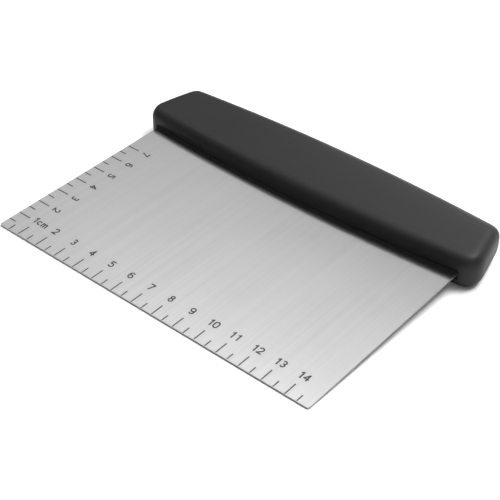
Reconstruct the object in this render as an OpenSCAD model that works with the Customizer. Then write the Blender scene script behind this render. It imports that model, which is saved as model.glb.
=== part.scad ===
// Bench scraper (dough cutter): a thin stainless blade with a centimetre scale, held in a moulded handle.
// Every module is drawn in the blade's own frame: X along the scraping edge, Y from that edge towards
// the handle, Z up from the middle of the sheet. lay_down() then tips it into the pose in which it lies
// on a table, on the blade's front edge and the handle's underside. Sizes are in millimetres.

/* [Blade] */
// Length of the scraping edge
blade_w = 150; // [120:1:160]
// Depth of the whole sheet, with the tang inside the handle
blade_d = 105; // [95:1:108]
// Thickness of the sheet
blade_t = 0.8; // [0.6:0.1:1.2]
// Radius of the two front corners
blade_corner_r = 1; // [0.5:0.5:5]
// Radius of the anchor holes in the tang
anchor_r = 3; // [2:0.5:4]
// Number of anchor holes
anchor_count = 5; // [3:1:7]
// Distance from one anchor hole to the next
anchor_pitch = 28; // [20:1:30]

/* [Handle outline] */
// Half length of the handle at its front
half_len_front = 83.3; // [81:0.1:90]
// Half length of the handle at its back
half_len_back = 76.7; // [76:0.1:86]
// Front of the handle, from the scraping edge, at mid-length
nose_mid = 84.4; // [84:0.1:87]
// Front of the handle, from the scraping edge, at its ends
nose_end = 88.6; // [84:0.1:91]
// Back of the handle at mid-length
back_mid = 119.2; // [117:0.1:124]
// Back of the handle at its ends
back_end = 115.6; // [114:0.1:117]
// Radius of the handle's front corners, seen from above
front_corner_r = 8; // [4:0.5:11]
// Radius of the handle's back corners, seen from above
back_corner_r = 2; // [1:0.5:6]

/* [Handle section] */
// Height of the handle above the middle of the sheet
over_t = 8.3; // [7.8:0.1:10]
// Depth of the handle below the middle of the sheet
under_t = 6.6; // [6:0.1:8]
// Rounding of the front edges at mid-length
front_r_mid = 5.8; // [4:0.1:7]
// Rounding of the front edges at the ends
front_r_end = 4.8; // [3:0.1:6]
// Rounding of the back edges
back_r = 5.4; // [4:0.2:7.6]
// Rounding of the ends, seen from the front
end_r = 4.8; // [3:0.1:6]
// Slope at which the crowned top and underside meet the roundings
crown_slope = 3; // [1:0.5:3.5]

/* [Core] */
// Front of the lip, from the scraping edge, at mid-length
lip_mid = 84; // [82:0.1:85]
// How far the lip's ends lie behind its middle
lip_bow = 3.3; // [2:0.1:5]
// Radius of the half-round lip
lip_r = 2.6; // [1.5:0.1:3]
// Half length of the core
core_half_len = 76; // [75.5:0.1:77]
// Front of the core's thick part
core_front = 92; // [90:0.5:94]
// Back of the core
core_back = 110; // [109:0.5:111]
// Thickness of the core's thick part
core_t = 8.4; // [7:0.1:9]
// Play of the core's posts in their holes
post_play = 0.1; // [0.05:0.01:0.3]

/* [Scale] */
// Distance between scale lines
scale_step = 5; // [5:5:10]
// Width of a scale line
line_w = 0.45; // [0.2:0.05:0.6]
// Length of the whole-centimetre lines
long_line = 5.8; // [4:0.1:8]
// Length of the half-centimetre lines
short_line = 3.3; // [2:0.1:5]
// Height of a numeral
numeral_h = 3.4; // [2.5:0.1:4]
// Width of a numeral
numeral_w = 2.25; // [1.8:0.05:2.6]
// Width of a numeral's strokes
stroke_w = 0.54; // [0.3:0.02:0.6]
// Thickness of the printed layer
print_t = 0.04; // [0.02:0.01:0.1]

/* [Hidden] */
// Scale: the last line on each edge, the gap to the edge, and the middle line of each row of numerals
front_last = 145;
side_last = 70;
edge_gap = 0.2;
numeral_y = 10.7;
side_numeral_x = 10.3;
numeral_pitch = 2.4;
unit_number_x = 8.9;
unit_x = 10.3;
// Centre lines of the numerals' strokes: half width, half height, and the centre of each bowl
glyph_x = (numeral_w - stroke_w) / 2;
glyph_y = (numeral_h - stroke_w) / 2;
bowl_y = glyph_y - glyph_x;
round_fn = 48;
arc_turn = 12;

// Core: the row of anchor posts and the row of key holes behind the tang
anchor_y = 98;
socket_depth = 2.6;
key_count = 6;
key_pitch = 25;
key_y = 107.5;
key_r = 1.4;
lip_depth = 14;
lip_half_len = 75.5;
lip_bow_r = (pow(blade_w / 2, 2) + pow(lip_bow, 2)) / (2 * lip_bow);
past = 1;

// Handle loft: stations along X and points round each section
end_steps = 9;
mid_steps = 20;
arc_steps = 7;
crown_steps = 6;
end_u = 1 - max(end_r, front_corner_r, back_corner_r) / half_len_front;

// Resting pose: the blade tips up until its lower front edge and the handle's underside are level
lower_front_r = front_r_mid * under_t / over_t;
lower_back_r = back_r * under_t / over_t;
underside_z = blade_t / 2 + crown_height(nose_mid, back_mid, lower_front_r, lower_back_r) - under_t;
nose_axis_y = nose_mid + lower_front_r;
nose_axis_z = underside_z + lower_front_r * cos(crown_slope);
back_axis_z = underside_z + lower_back_r * cos(crown_slope);
tilt = atan2(-nose_axis_z, nose_axis_y)
    + asin(lower_front_r / norm([nose_axis_y, nose_axis_z]));
front_reach = -blade_t * sin(tilt);
back_reach = (back_mid - lower_back_r) * cos(tilt) - back_axis_z * sin(tilt) + lower_back_r;

// ---------- Handle shape ----------

// Width of the crown between roundings of radii r0 and r1 whose outer faces lie at y0 and y1
function crown_width(y0, y1, r0, r1) = y1 - y0 - (r0 + r1) * (1 - sin(crown_slope));

// Height of that crown
function crown_height(y0, y1, r0, r1) = crown_width(y0, y1, r0, r1) * tan(crown_slope) / 4;

// Value between one at the middle and one at the ends, along a parabola
function bowed(middle, ends, u) = middle + (ends - middle) * u * u;

// How far a rounding of radius r draws back at distance d from the face that it rounds into
function draw_back(r, d) = d >= r ? 0 : r - sqrt(r * r - pow(r - d, 2));

// One side of one section as [y, z] points, from the front face over the top to the back face;
// thick is over_t for the upper side and under_t for the lower side, whose roundings are flatter
function half_section(u, thick) =
    let (
        d = (1 - u) * half_len_front,
        height = thick * (1 - draw_back(end_r, d) / over_t),
        y0 = bowed(nose_mid, nose_end, u) + draw_back(front_corner_r, d),
        y1 = bowed(back_mid, back_end, u) - draw_back(back_corner_r, d),
        r0 = bowed(front_r_mid, front_r_end, u) * height / over_t,
        r1 = back_r * height / over_t,
        a = crown_slope,
        wide = crown_width(y0, y1, r0, r1),
        crown = crown_height(y0, y1, r0, r1),
        top = height - crown,
        start = y0 + r0 * (1 - sin(a))
    )
    concat(
        [for (i = [0 : arc_steps])
            let (t = (90 - a) * i / arc_steps)
            [y0 + r0 * (1 - cos(t)), top - r0 * (cos(a) - sin(t))]],
        [for (i = [1 : crown_steps - 1])
            let (v = 2 * i / crown_steps - 1)
            [start + wide * (v + 1) / 2, top + crown * (1 - v * v)]],
        [for (i = [arc_steps : -1 : 0])
            let (t = (90 - a) * i / arc_steps)
            [y1 - r1 * (1 - cos(t)), top - r1 * (cos(a) - sin(t))]]
    );

// The handle's ends lean inwards towards the back
function end_x(y) =
    half_len_front + (half_len_back - half_len_front) * (y - nose_end) / (back_end - nose_end);

// Whole ring of points at station s, which runs from -1 to 1
function ring(s) =
    let (
        upper = half_section(abs(s), over_t),
        lower = half_section(abs(s), under_t)
    )
    concat(
        [for (p = upper) [s * end_x(p[0]), p[0], p[1]]],
        [for (i = [len(lower) - 1 : -1 : 0])
            [s * end_x(lower[i][0]), lower[i][0], -lower[i][1]]]
    );

// Stations: close together through the rounded ends, even along the middle
function end_stations() =
    [for (i = [0 : end_steps - 1]) 1 - (1 - end_u) * (1 - cos(90 * i / end_steps))];
function stations() =
    concat(
        [for (u = end_stations()) -u],
        [for (i = [0 : mid_steps]) end_u * (2 * i / mid_steps - 1)],
        [for (i = [end_steps - 1 : -1 : 0]) end_stations()[i]]
    );

// Closed skin of the whole handle
module handle_body() {
    rings = [for (s = stations()) ring(s)];
    n = len(rings[0]);
    last = len(rings) - 1;
    skin = [for (i = [0 : last - 1], j = [0 : n - 1])
        let (k = (j + 1) % n)
        each [
            [i * n + j, (i + 1) * n + k, (i + 1) * n + j],
            [i * n + j, i * n + k, (i + 1) * n + k]
        ]];
    near_end = [for (j = [n - 1 : -1 : 0]) j];
    far_end = [for (j = [0 : n - 1]) last * n + j];
    polyhedron(
        points = [for (r = rings) each r],
        faces = concat([near_end], skin, [far_end])
    );
}

// ---------- Blade and core ----------

// Tips a shape into the resting pose, with the origin under the middle of the object
module lay_down() {
    translate([0, -(front_reach + back_reach) / 2, 0])
        rotate([tilt, 0, 0])
            translate([0, 0, blade_t / 2])
                children();
}

// Places its child at each anchor post
module at_anchors() {
    for (i = [0 : anchor_count - 1])
        translate([(i - (anchor_count - 1) / 2) * anchor_pitch, anchor_y, 0])
            children();
}

// Sheet with rounded front corners, without its holes
module sheet() {
    translate([0, 0, -blade_t / 2])
        linear_extrude(blade_t)
            union() {
                translate([-blade_w / 2, blade_corner_r])
                    square([blade_w, blade_d - blade_corner_r]);
                translate([blade_corner_r - blade_w / 2, 0])
                    square([blade_w - 2 * blade_corner_r, 2 * blade_corner_r]);
                for (side = [-1, 1])
                    translate([side * (blade_w / 2 - blade_corner_r), blade_corner_r])
                        circle(r = blade_corner_r, $fn = round_fn);
            }
}

// Outer shape of both halves of the core: the bowed lip and the thick part behind it
module core_envelope() {
    lip_span = 2 * asin(lip_half_len / lip_bow_r);
    translate([0, lip_mid + lip_bow_r, 0])
        rotate([0, 0, -90 - lip_span / 2])
            rotate_extrude(angle = lip_span, $fn = 360) {
                translate([lip_bow_r - lip_r, 0])
                    circle(r = lip_r, $fn = round_fn);
                translate([lip_bow_r - lip_depth, -lip_r])
                    square([lip_depth - lip_r, 2 * lip_r]);
            }
    translate([-core_half_len, core_front, -core_t / 2])
        cube([2 * core_half_len, core_back - core_front, core_t]);
}

// One half of the core, above the middle plane; the tang and the key holes are cut out
module core_half() {
    difference() {
        core_envelope();
        translate([-blade_w, 0, -core_t])
            cube([2 * blade_w, 2 * blade_d, core_t]);
        sheet();
        key_holes();
    }
}

// Row of holes that the grip's material fills
module key_holes() {
    for (i = [0 : key_count - 1])
        translate([(i - (key_count - 1) / 2) * key_pitch, key_y, -core_t])
            cylinder(r = key_r, h = 2 * core_t, $fn = round_fn);
}

module blade() {
    color("lightsteelblue")
        lay_down()
            difference() {
                sheet();
                at_anchors()
                    translate([0, 0, -past])
                        cylinder(r = anchor_r, h = 2 * past, $fn = round_fn);
            }
}

module core_upper() {
    color("dimgray")
        lay_down()
            difference() {
                core_half();
                at_anchors()
                    translate([0, 0, -past])
                        cylinder(r = anchor_r, h = past + socket_depth, $fn = round_fn);
            }
}

module core_lower() {
    color("slategray")
        lay_down() {
            mirror([0, 0, 1])
                core_half();
            at_anchors()
                translate([0, 0, -core_t / 4])
                    cylinder(
                        r = anchor_r - post_play,
                        h = core_t / 4 + socket_depth - post_play,
                        $fn = round_fn
                    );
        }
}

module grip() {
    color("black")
        lay_down()
            difference() {
                handle_body();
                difference() {
                    core_envelope();
                    key_holes();
                }
                sheet();
            }
}

// ---------- Printed scale ----------

// Raises its children onto the blade's upper face
module on_blade() {
    color("darkslategray")
        lay_down()
            translate([-blade_w / 2, 0, blade_t / 2])
                children();
}

// Length of the line at a distance along the edge
function line_length(at) = at % 10 == 0 ? long_line : short_line;

// Points along an arc about c, from angle a0 to angle a1
function arc(c, r, a0, a1) =
    let (n = ceil(abs(a1 - a0) / arc_turn))
    [for (i = [0 : n])
        let (t = a0 + (a1 - a0) * i / n)
        [c[0] + r * cos(t), c[1] + r * sin(t)]];

// Unit normal of a path at point i, between the directions of its neighbours
function path_normal(path, i) =
    let (
        before = path[max(i - 1, 0)],
        after = path[min(i + 1, len(path) - 1)],
        d = (after - before) / norm(after - before)
    )
    [-d[1], d[0]];

// Stroke of even width along an open path
module stroke(path) {
    n = len(path);
    left = [for (i = [0 : n - 1]) path[i] + path_normal(path, i) * stroke_w / 2];
    right = [for (i = [n - 1 : -1 : 0]) path[i] - path_normal(path, i) * stroke_w / 2];
    polygon(concat(left, right));
}

// Closed round stroke
module round_stroke(c, r) {
    translate(c)
        difference() {
            polygon(arc([0, 0], r + stroke_w / 2, 0, 360 - arc_turn));
            polygon(arc([0, 0], r - stroke_w / 2, 0, 360 - arc_turn));
        }
}

module digit_0() {
    for (turn = [0, 180])
        rotate(turn)
            stroke(concat(
                [[glyph_x, 0]],
                arc([0, bowl_y], glyph_x, 0, 180),
                [[-glyph_x, 0]]
            ));
}

module digit_1() {
    stem = 0.3;
    stroke([[stem, -numeral_h / 2], [stem, numeral_h / 2]]);
    stroke([[stem - 0.85, glyph_y - 0.62], [stem, glyph_y - 0.1]]);
}

module digit_2() {
    foot = -glyph_y;
    stroke(concat(arc([0, bowl_y], glyph_x, 170, -38), [[-glyph_x * 0.9, foot]]));
    stroke([[-numeral_w / 2, foot], [numeral_w / 2, foot]]);
}

module digit_3() {
    upper_r = glyph_y * 0.48;
    lower_r = glyph_y - upper_r;
    stroke(arc([0, glyph_y - upper_r], upper_r, -110, 160));
    stroke(arc([0, lower_r - glyph_y], lower_r, -155, 110));
}

module digit_4() {
    stem = glyph_x * 0.5;
    cross = -glyph_y * 0.45;
    stroke([[stem, -numeral_h / 2], [stem, numeral_h / 2]]);
    stroke([[-numeral_w / 2, cross], [numeral_w / 2, cross]]);
    stroke([[-glyph_x, cross], [stem, glyph_y]]);
}

module digit_5() {
    bowl_r = glyph_x * 1.05;
    bowl_at = bowl_r - glyph_y;
    corner = [-glyph_x * 0.7, glyph_y];
    stroke(arc([0, bowl_at], bowl_r, -155, 135));
    stroke([[-bowl_r * cos(45), bowl_at + bowl_r * sin(45)], corner]);
    stroke([corner - [stroke_w / 2, 0], [numeral_w / 2 - 0.1, glyph_y]]);
}

module digit_6() {
    stroke(concat(
        arc([0, bowl_y], glyph_x, 36, 180),
        arc([0, -bowl_y], glyph_x, 180, 360 - arc_turn)
    ));
    stroke(arc([0, -bowl_y], glyph_x, -2 * arc_turn, 180 - 2 * arc_turn));
}

module digit_7() {
    stroke([[-numeral_w / 2, glyph_y], [numeral_w / 2, glyph_y]]);
    stroke([[-glyph_x * 0.3, -numeral_h / 2], [glyph_x, glyph_y]]);
}

module digit_8() {
    upper_r = glyph_y * 0.46;
    lower_r = glyph_y - upper_r;
    round_stroke([0, glyph_y - upper_r], upper_r);
    round_stroke([0, lower_r - glyph_y], lower_r);
}

module digit_9() {
    rotate(180)
        digit_6();
}

// One digit, centred on its cell
module digit(value) {
    if (value == 0) digit_0();
    if (value == 1) digit_1();
    if (value == 2) digit_2();
    if (value == 3) digit_3();
    if (value == 4) digit_4();
    if (value == 5) digit_5();
    if (value == 6) digit_6();
    if (value == 7) digit_7();
    if (value == 8) digit_8();
    if (value == 9) digit_9();
}

// A number of one or two digits, centred
module number(value) {
    if (value >= 10)
        translate([-numeral_pitch / 2, 0])
            digit(floor(value / 10));
    translate([value >= 10 ? numeral_pitch / 2 : 0, 0])
        digit(value % 10);
}

// The unit after the first numeral, with its left end on the origin and its foot on the base line
module unit_cm() {
    x_height = numeral_h * 0.7;
    half = stroke_w / 2;
    c_r = 0.75;
    arch_r = 0.52;
    spring = x_height - half - arch_r;
    stroke(concat(
        arc([c_r + half, x_height - half - c_r], c_r, 40, 180),
        arc([c_r + half, half + c_r], c_r, 180, 320)
    ));
    translate([2.6, 0]) {
        stroke([[0, 0], [0, x_height]]);
        for (i = [0, 1])
            stroke(concat(
                arc([(2 * i + 1) * arch_r, spring], arch_r, 180, 0),
                [[(2 * i + 2) * arch_r, 0]]
            ));
    }
}

module front_scale_lines() {
    on_blade()
        for (at = [scale_step : scale_step : front_last])
            translate([at - line_w / 2, edge_gap, 0])
                cube([line_w, line_length(at), print_t]);
}

module side_scale_lines() {
    on_blade()
        for (at = [scale_step : scale_step : side_last])
            translate([edge_gap, at - line_w / 2, 0])
                cube([line_length(at), line_w, print_t]);
}

module front_scale_numerals() {
    on_blade()
        linear_extrude(print_t) {
            translate([unit_number_x, numeral_y])
                number(1);
            translate([unit_x, numeral_y - numeral_h / 2])
                unit_cm();
            for (value = [2 : 14])
                translate([value * 10, numeral_y])
                    number(value);
        }
}

module side_scale_numerals() {
    on_blade()
        linear_extrude(print_t)
            for (value = [2 : 7])
                translate([side_numeral_x, value * 10])
                    rotate(-90)
                        number(value);
}

blade();
core_upper();
core_lower();
grip();
front_scale_lines();
front_scale_numerals();
side_scale_lines();
side_scale_numerals();
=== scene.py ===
"""Bench scraper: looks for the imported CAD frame. Lengths are in metres."""

import math

import bpy
from mathutils import Matrix, Vector

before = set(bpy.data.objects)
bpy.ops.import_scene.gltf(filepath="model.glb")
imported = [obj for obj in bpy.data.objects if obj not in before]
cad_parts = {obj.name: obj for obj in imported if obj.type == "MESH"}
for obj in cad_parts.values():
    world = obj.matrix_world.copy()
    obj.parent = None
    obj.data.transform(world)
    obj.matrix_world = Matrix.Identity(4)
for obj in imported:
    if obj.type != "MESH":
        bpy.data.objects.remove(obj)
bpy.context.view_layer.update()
scene = bpy.context.scene
MM = 0.001

# Camera: what it looks at, its place in degrees round the object and above the table, its roll in degrees,
# its distance, its lens and sensor in millimetres, and the nearest and farthest that it sees
CAMERA_TARGET = Vector((0.00842, -0.00979, 0.00408))
CAMERA_AZIMUTH = 38.15
CAMERA_ELEVATION = 36.04
CAMERA_ROLL = 3.20
CAMERA_DISTANCE = 0.4549
CAMERA_LENS = 87.69
CAMERA_SENSOR = 36.0
CAMERA_NEAR = 0.01
CAMERA_FAR = 50.0

# Slope of the blade as it lies on the table, in degrees
BLADE_SLOPE = 3.77

# Colours of the steel: duller and brighter streaks, and the sheared edge, which also carries painted shade
# on the narrow faces
STEEL_DULL = (0.355, 0.355, 0.355)
STEEL_BRIGHT = (0.405, 0.405, 0.405)
STEEL_EDGE_AND_SHADE = (0.30, 0.30, 0.30)

# Texture of the steel, in repeats per metre along X, Y and Z
STEEL_GRAIN = (1500.0, 10.0, 10.0)
STEEL_BANDS = (300.0, 5.0, 5.0)
STEEL_SCRATCHES = (1800.0, 1.0, 1.0)
STEEL_PATCHES = (40.0, 30.0, 40.0)

# Darker and lighter colours of the plastics, the print and the table; the core's colours are darker than
# the grip's, partly as painted shade on the lip under the grip
GRIP_COLORS = ((0.0058, 0.0058, 0.0060), (0.0082, 0.0082, 0.0085))
CORE_SHADED_COLORS = ((0.0035, 0.0035, 0.0038), (0.0055, 0.0055, 0.0058))
INK_COLORS = ((0.008, 0.008, 0.009), (0.025, 0.025, 0.027))
TABLE_COLORS = ((0.90, 0.90, 0.90), (0.92, 0.92, 0.92))

# Texture of the plastics, the print and the table, in repeats per metre
GRIP_GRAIN = 4200.0
CORE_GRAIN = 6000.0
PLASTIC_CLOUDS = 45.0
INK_PATCHES = 900.0
TABLE_MOTTLE = 6.0

# Half the side of the square table top
TABLE_HALF = 4.0

# Lights that face straight down from one height: name, place along X and Y, size and power in watts
OVERHEAD_HEIGHT = 1.1
OVERHEAD_LIGHTS = [
    ("overhead", (0.25, 0.32), (0.7, 0.45), 13.0),
    ("overhead_left", (-1.35, 0.32), (0.7, 0.45), 6.3),
    ("overhead_back", (-0.55, 0.77), (0.9, 0.45), 2.1),
    ("overhead_right", (0.35, 0.85), (0.6, 0.5), 5.3),
    ("overhead_front", (0.0, -0.25), (1.4, 0.6), 2.6),
]

# Lights round the table, which face one point above it: name, place, size and power in watts
SIDE_LIGHTS_FACE = (0.0, 0.0, 0.1)
SIDE_LIGHTS = [
    ("back_low", (-0.3, 1.9, 0.5), (1.6, 0.8), 11.0),
    ("back_right", (1.1, 1.2, 0.6), (1.0, 1.0), 1.5),
    ("front_right", (1.5, -1.2, 0.75), (1.5, 1.0), 6.0),
]

# Brightness of the dim surround
SURROUND = 0.14


# ---------- Node helpers ----------

def new_material(name):
    """A new material, its node tree and its Principled shader."""
    material = bpy.data.materials.new(name)
    material.use_nodes = True
    tree = material.node_tree
    tree.nodes.clear()
    output = tree.nodes.new("ShaderNodeOutputMaterial")
    shader = tree.nodes.new("ShaderNodeBsdfPrincipled")
    tree.links.new(shader.outputs["BSDF"], output.inputs["Surface"])
    return material, tree, shader


def add(tree, kind, **settings):
    """Adds a node; settings name its properties, or its inputs by their label."""
    node = tree.nodes.new(kind)
    for key, value in settings.items():
        if hasattr(node, key):
            setattr(node, key, value)
        else:
            node.inputs[key.replace("_", " ")].default_value = value
    return node


def object_coordinates(tree, scale, turn=(0.0, 0.0, 0.0)):
    """Object coordinates, turned and then scaled along each axis."""
    coordinates = add(tree, "ShaderNodeTexCoord")
    turned = add(tree, "ShaderNodeMapping", vector_type="POINT")
    turned.inputs["Rotation"].default_value = turn
    mapping = add(tree, "ShaderNodeMapping", vector_type="POINT")
    mapping.inputs["Scale"].default_value = scale
    tree.links.new(coordinates.outputs["Object"], turned.inputs["Vector"])
    tree.links.new(turned.outputs["Vector"], mapping.inputs["Vector"])
    return mapping.outputs["Vector"]


def even_coordinates(tree, scale):
    """Object coordinates, scaled by the same factor along each axis."""
    return object_coordinates(tree, (scale, scale, scale))


def noise(tree, vector, detail=2.0, roughness=0.5):
    """Noise over a vector; size is set by the vector's scale."""
    node = add(tree, "ShaderNodeTexNoise", Scale=1.0, Detail=detail, Roughness=roughness)
    tree.links.new(vector, node.inputs["Vector"])
    return node.outputs["Fac"]


def remap(tree, value, low, high, from_low=0.0, from_high=1.0):
    """Moves a value from one range to another, without leaving the new one."""
    node = add(tree, "ShaderNodeMapRange")
    node.inputs["From Min"].default_value = from_low
    node.inputs["From Max"].default_value = from_high
    node.inputs["To Min"].default_value = low
    node.inputs["To Max"].default_value = high
    tree.links.new(value, node.inputs["Value"])
    return node.outputs["Result"]


def blend(tree, value_a, value_b, share):
    """A mix of two values, in which the second has the given share."""
    kept = add(tree, "ShaderNodeMath", operation="MULTIPLY")
    kept.inputs[1].default_value = 1.0 - share
    tree.links.new(value_a, kept.inputs[0])
    node = add(tree, "ShaderNodeMath", operation="MULTIPLY_ADD")
    node.inputs[1].default_value = share
    tree.links.new(value_b, node.inputs[0])
    tree.links.new(kept.outputs[0], node.inputs[2])
    return node.outputs[0]


def mix_colors(tree, factor, color_a, color_b):
    """A colour between two, by a factor; each is a colour or another node's output."""
    node = add(tree, "ShaderNodeMix", data_type="RGBA")
    sockets = {socket.name: socket for socket in node.inputs if socket.type == "RGBA"}
    for name, color in (("A", color_a), ("B", color_b)):
        if isinstance(color, tuple):
            sockets[name].default_value = (*color, 1.0)
        else:
            tree.links.new(color, sockets[name])
    tree.links.new(factor, node.inputs["Factor"])
    return [s for s in node.outputs if s.type == "RGBA"][0]


def add_bump(tree, shader, height, strength, distance):
    """Bump from a height value, on the shader's normal."""
    node = add(tree, "ShaderNodeBump", Strength=strength, Distance=distance)
    tree.links.new(height, node.inputs["Height"])
    tree.links.new(node.outputs["Normal"], shader.inputs["Normal"])


# ---------- Materials ----------

def brushed_steel():
    """Stainless sheet, brushed from the scraping edge towards the handle, with sheared edges that are
    darker partly as painted shade.
    """
    material, tree, shader = new_material("brushed_steel")
    shader.inputs["Metallic"].default_value = 1.0
    shader.inputs["Anisotropic"].default_value = 0.95
    level = (math.radians(-BLADE_SLOPE), 0.0, 0.0)
    grain = noise(tree, object_coordinates(tree, STEEL_GRAIN, level), detail=3.0)
    bands = noise(tree, object_coordinates(tree, STEEL_BANDS, level), detail=2.0)
    scratches = noise(tree, object_coordinates(tree, STEEL_SCRATCHES, level), detail=1.0)
    patches = noise(tree, object_coordinates(tree, STEEL_PATCHES, level), detail=3.0)
    wear = blend(tree, blend(tree, grain, bands, 0.5), patches, 0.35)
    least_wear, most_wear = 0.35, 0.65
    brightness = remap(tree, wear, 0.0, 1.0, least_wear, most_wear)
    face = mix_colors(tree, brightness, STEEL_DULL, STEEL_BRIGHT)
    face_roughness = remap(tree, wear, 0.39, 0.34, least_wear, most_wear)
    narrow = narrow_faces(tree)
    # The narrow faces take the darker edge colour: partly a duller sheared edge, partly painted shade on
    # faces that lie in shade
    tree.links.new(mix_colors(tree, narrow, face, STEEL_EDGE_AND_SHADE), shader.inputs["Base Color"])
    tree.links.new(blend(tree, face_roughness, narrow, 0.15), shader.inputs["Roughness"])
    add_bump(tree, shader, scratches, 0.02, 0.05 * MM)
    tangent = add(tree, "ShaderNodeCombineXYZ", X=1.0, Y=0.0, Z=0.0)
    tree.links.new(tangent.outputs["Vector"], shader.inputs["Tangent"])
    return material


def narrow_faces(tree):
    """One on the narrow faces round the sheet, nought on its broad faces; it places the darker edge
    colour, partly painted shade.
    """
    coordinates = add(tree, "ShaderNodeTexCoord")
    facing = add(tree, "ShaderNodeVectorMath", operation="DOT_PRODUCT")
    slope = math.radians(BLADE_SLOPE)
    facing.inputs[1].default_value = (0.0, -math.sin(slope), math.cos(slope))
    tree.links.new(coordinates.outputs["Normal"], facing.inputs[0])
    flatness = add(tree, "ShaderNodeMath", operation="ABSOLUTE")
    tree.links.new(facing.outputs["Value"], flatness.inputs[0])
    narrow = add(tree, "ShaderNodeMath", operation="LESS_THAN")
    narrow.inputs[1].default_value = math.cos(math.radians(45.0))
    tree.links.new(flatness.outputs[0], narrow.inputs[0])
    return narrow.outputs[0]


def black_plastic(name, colors, grain):
    """Matte black moulding with a fine grain."""
    material, tree, shader = new_material(name)
    shader.inputs["IOR"].default_value = 1.48
    shader.inputs["Specular IOR Level"].default_value = 0.35
    fine = noise(tree, even_coordinates(tree, grain), detail=3.0, roughness=0.6)
    cloudy = noise(tree, even_coordinates(tree, PLASTIC_CLOUDS), detail=3.0, roughness=0.55)
    tree.links.new(mix_colors(tree, cloudy, *colors), shader.inputs["Base Color"])
    tree.links.new(remap(tree, cloudy, 0.48, 0.58, 0.3, 0.7), shader.inputs["Roughness"])
    add_bump(tree, shader, fine, 0.25, 0.03 * MM)
    return material


def scale_ink():
    """Dark matte print, a little thin in places."""
    material, tree, shader = new_material("scale_ink")
    patches = noise(tree, even_coordinates(tree, INK_PATCHES), detail=3.0, roughness=0.6)
    color = mix_colors(tree, remap(tree, patches, 0.0, 1.0, 0.35, 0.75), *INK_COLORS)
    tree.links.new(color, shader.inputs["Base Color"])
    tree.links.new(remap(tree, patches, 0.5, 0.7), shader.inputs["Roughness"])
    return material


def dress(node_name, material):
    """Gives the whole of a CAD node one material."""
    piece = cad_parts[node_name]
    piece.data.materials.clear()
    piece.data.materials.append(material)
    piece.data.polygons.foreach_set("material_index", [0] * len(piece.data.polygons))


def shade_smooth(node_name):
    """Welds a CAD node's faceted faces and shades them as one smooth surface."""
    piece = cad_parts[node_name]
    weld = piece.modifiers.new("weld", "WELD")
    weld.merge_threshold = 0.001 * MM
    piece.data.polygons.foreach_set("use_smooth", [True] * len(piece.data.polygons))


# ---------- Studio ----------

def floor():
    """Pale table top under the object."""
    material, tree, shader = new_material("white_table")
    mottle = noise(tree, even_coordinates(tree, TABLE_MOTTLE), detail=2.0)
    tree.links.new(mix_colors(tree, mottle, *TABLE_COLORS), shader.inputs["Base Color"])
    shader.inputs["Roughness"].default_value = 0.9
    shader.inputs["Specular IOR Level"].default_value = 0.1
    corners = [(x * TABLE_HALF, y * TABLE_HALF, 0.0) for x, y in ((-1, -1), (1, -1), (1, 1), (-1, 1))]
    mesh = bpy.data.meshes.new("table_top")
    mesh.from_pydata(corners, [], [(0, 1, 2, 3)])
    mesh.materials.append(material)
    plane = bpy.data.objects.new("table_top", mesh)
    scene.collection.objects.link(plane)


def softbox(name, place, target, size, power):
    """A rectangular soft light that faces a point."""
    data = bpy.data.lights.new(name, "AREA")
    data.shape = "RECTANGLE"
    data.size, data.size_y = size
    data.energy = power
    light = bpy.data.objects.new(name, data)
    scene.collection.objects.link(light)
    light.location = place
    light.rotation_euler = (Vector(target) - Vector(place)).to_track_quat("-Z", "Y").to_euler()


def studio():
    """Soft lights above and round the table, and a dim surround."""
    world = bpy.data.worlds.new("surround")
    scene.world = world
    world.use_nodes = True
    background = world.node_tree.nodes["Background"]
    background.inputs["Color"].default_value = (1.0, 1.0, 1.0, 1.0)
    background.inputs["Strength"].default_value = SURROUND
    for name, (x, y), size, power in OVERHEAD_LIGHTS:
        softbox(name, (x, y, OVERHEAD_HEIGHT), (x, y, 0.0), size, power)
    for name, place, size, power in SIDE_LIGHTS:
        softbox(name, place, SIDE_LIGHTS_FACE, size, power)


def camera():
    """The camera at the photograph's angle."""
    azimuth = math.radians(CAMERA_AZIMUTH)
    elevation = math.radians(CAMERA_ELEVATION)
    away = Vector((math.sin(azimuth) * math.cos(elevation),
                   -math.cos(azimuth) * math.cos(elevation),
                   math.sin(elevation)))
    right = Vector((math.cos(azimuth), math.sin(azimuth), 0.0))
    up = away.cross(right)
    roll = math.radians(CAMERA_ROLL)
    rolled_right = right * math.cos(roll) + up * math.sin(roll)
    rolled_up = away.cross(rolled_right)
    data = bpy.data.cameras.new("camera")
    data.lens = CAMERA_LENS
    data.sensor_width = CAMERA_SENSOR
    data.clip_start = CAMERA_NEAR
    data.clip_end = CAMERA_FAR
    eye = bpy.data.objects.new("camera", data)
    scene.collection.objects.link(eye)
    place = CAMERA_TARGET + away * CAMERA_DISTANCE
    axes = Matrix((rolled_right, rolled_up, away)).transposed()
    eye.matrix_world = Matrix.Translation(place) @ axes.to_4x4()
    scene.camera = eye


# ---------- Build ----------

camera()
floor()
studio()
scene.view_settings.view_transform = "Standard"

dress("blade", brushed_steel())
grip_plastic = black_plastic("grip_plastic", GRIP_COLORS, GRIP_GRAIN)
# The core takes darker colours than the grip, partly painted shade where its lip lies under the grip
core_plastic = black_plastic("core_plastic", CORE_SHADED_COLORS, CORE_GRAIN)
dress("grip", grip_plastic)
dress("core_upper", core_plastic)
dress("core_lower", core_plastic)
ink = scale_ink()
for node_name in ("front_scale_lines", "front_scale_numerals", "side_scale_lines", "side_scale_numerals"):
    dress(node_name, ink)
shade_smooth("grip")
